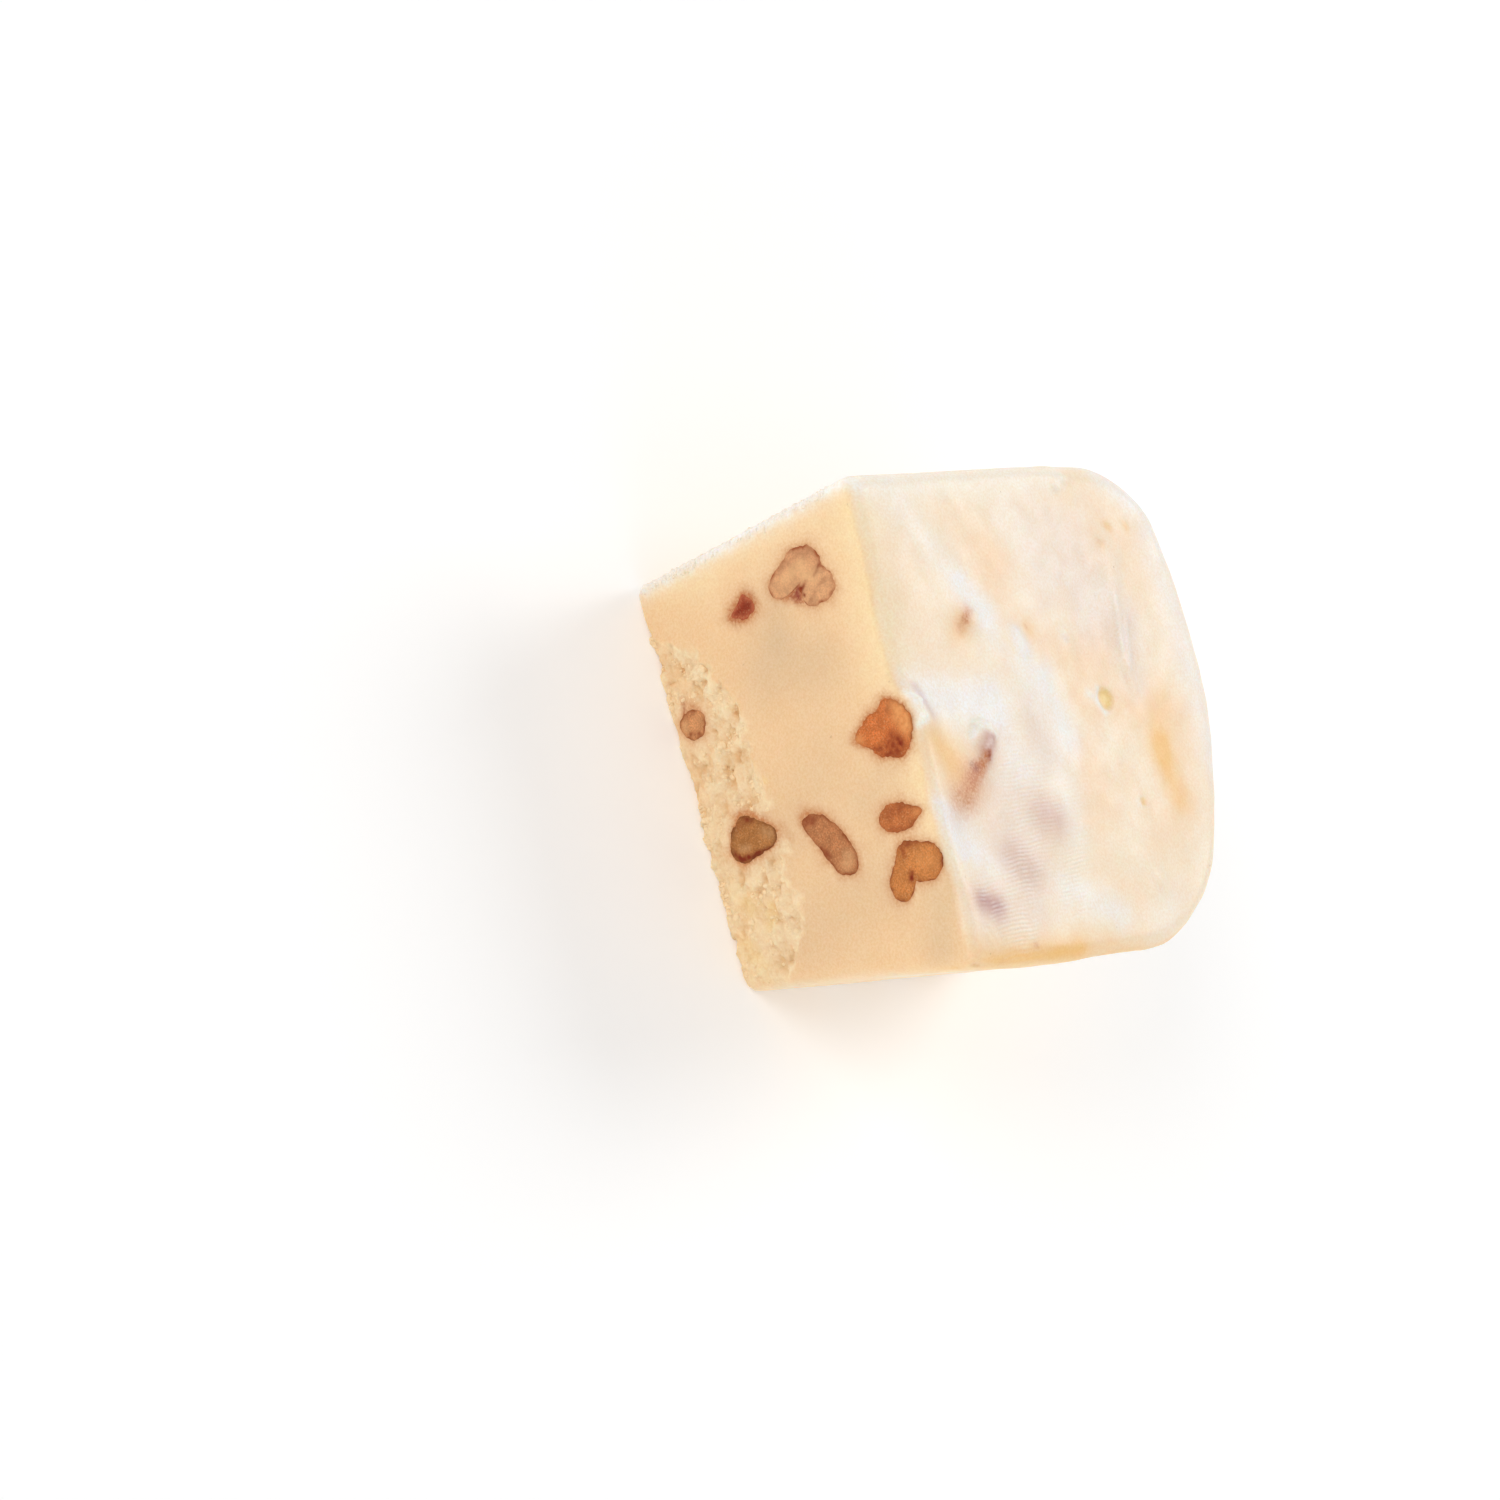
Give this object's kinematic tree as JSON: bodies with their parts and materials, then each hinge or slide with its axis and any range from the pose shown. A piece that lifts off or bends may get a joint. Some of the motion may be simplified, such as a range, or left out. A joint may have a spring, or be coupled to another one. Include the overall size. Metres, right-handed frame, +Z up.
{
  "type": "fudge square with pecans",
  "caption": "Cut square of pale vanilla fudge with a glossy poured top, rounded outer sides and pecan pieces showing in its knife-cut faces.",
  "frame": {"origin": "middle of the bounding box, on the flat base that the piece rests on", "axes": "+Z up, from the base to the poured top; -Y out of the knife-cut face that shows most nuts; -X out of the second cut face"},
  "size_m": [0.0587, 0.0583, 0.0373],
  "materials": {
    "fudge": "cream-coloured fudge, satin on the poured top and dull and crumbly where cut",
    "pecan": "cut pecan, tan with a thin dark skin"
  },
  "bodies": {
    "root": {"fudge_block": "fudge", "pecan_1": "pecan", "pecan_2": "pecan", "pecan_3": "pecan", "pecan_4": "pecan", "pecan_5": "pecan", "pecan_6": "pecan", "pecan_7": "pecan", "pecan_8": "pecan", "pecan_9": "pecan", "pecan_10": "pecan", "pecan_11": "pecan", "pecan_12": "pecan", "pecan_13": "pecan"}
  },
  "joints": []
}
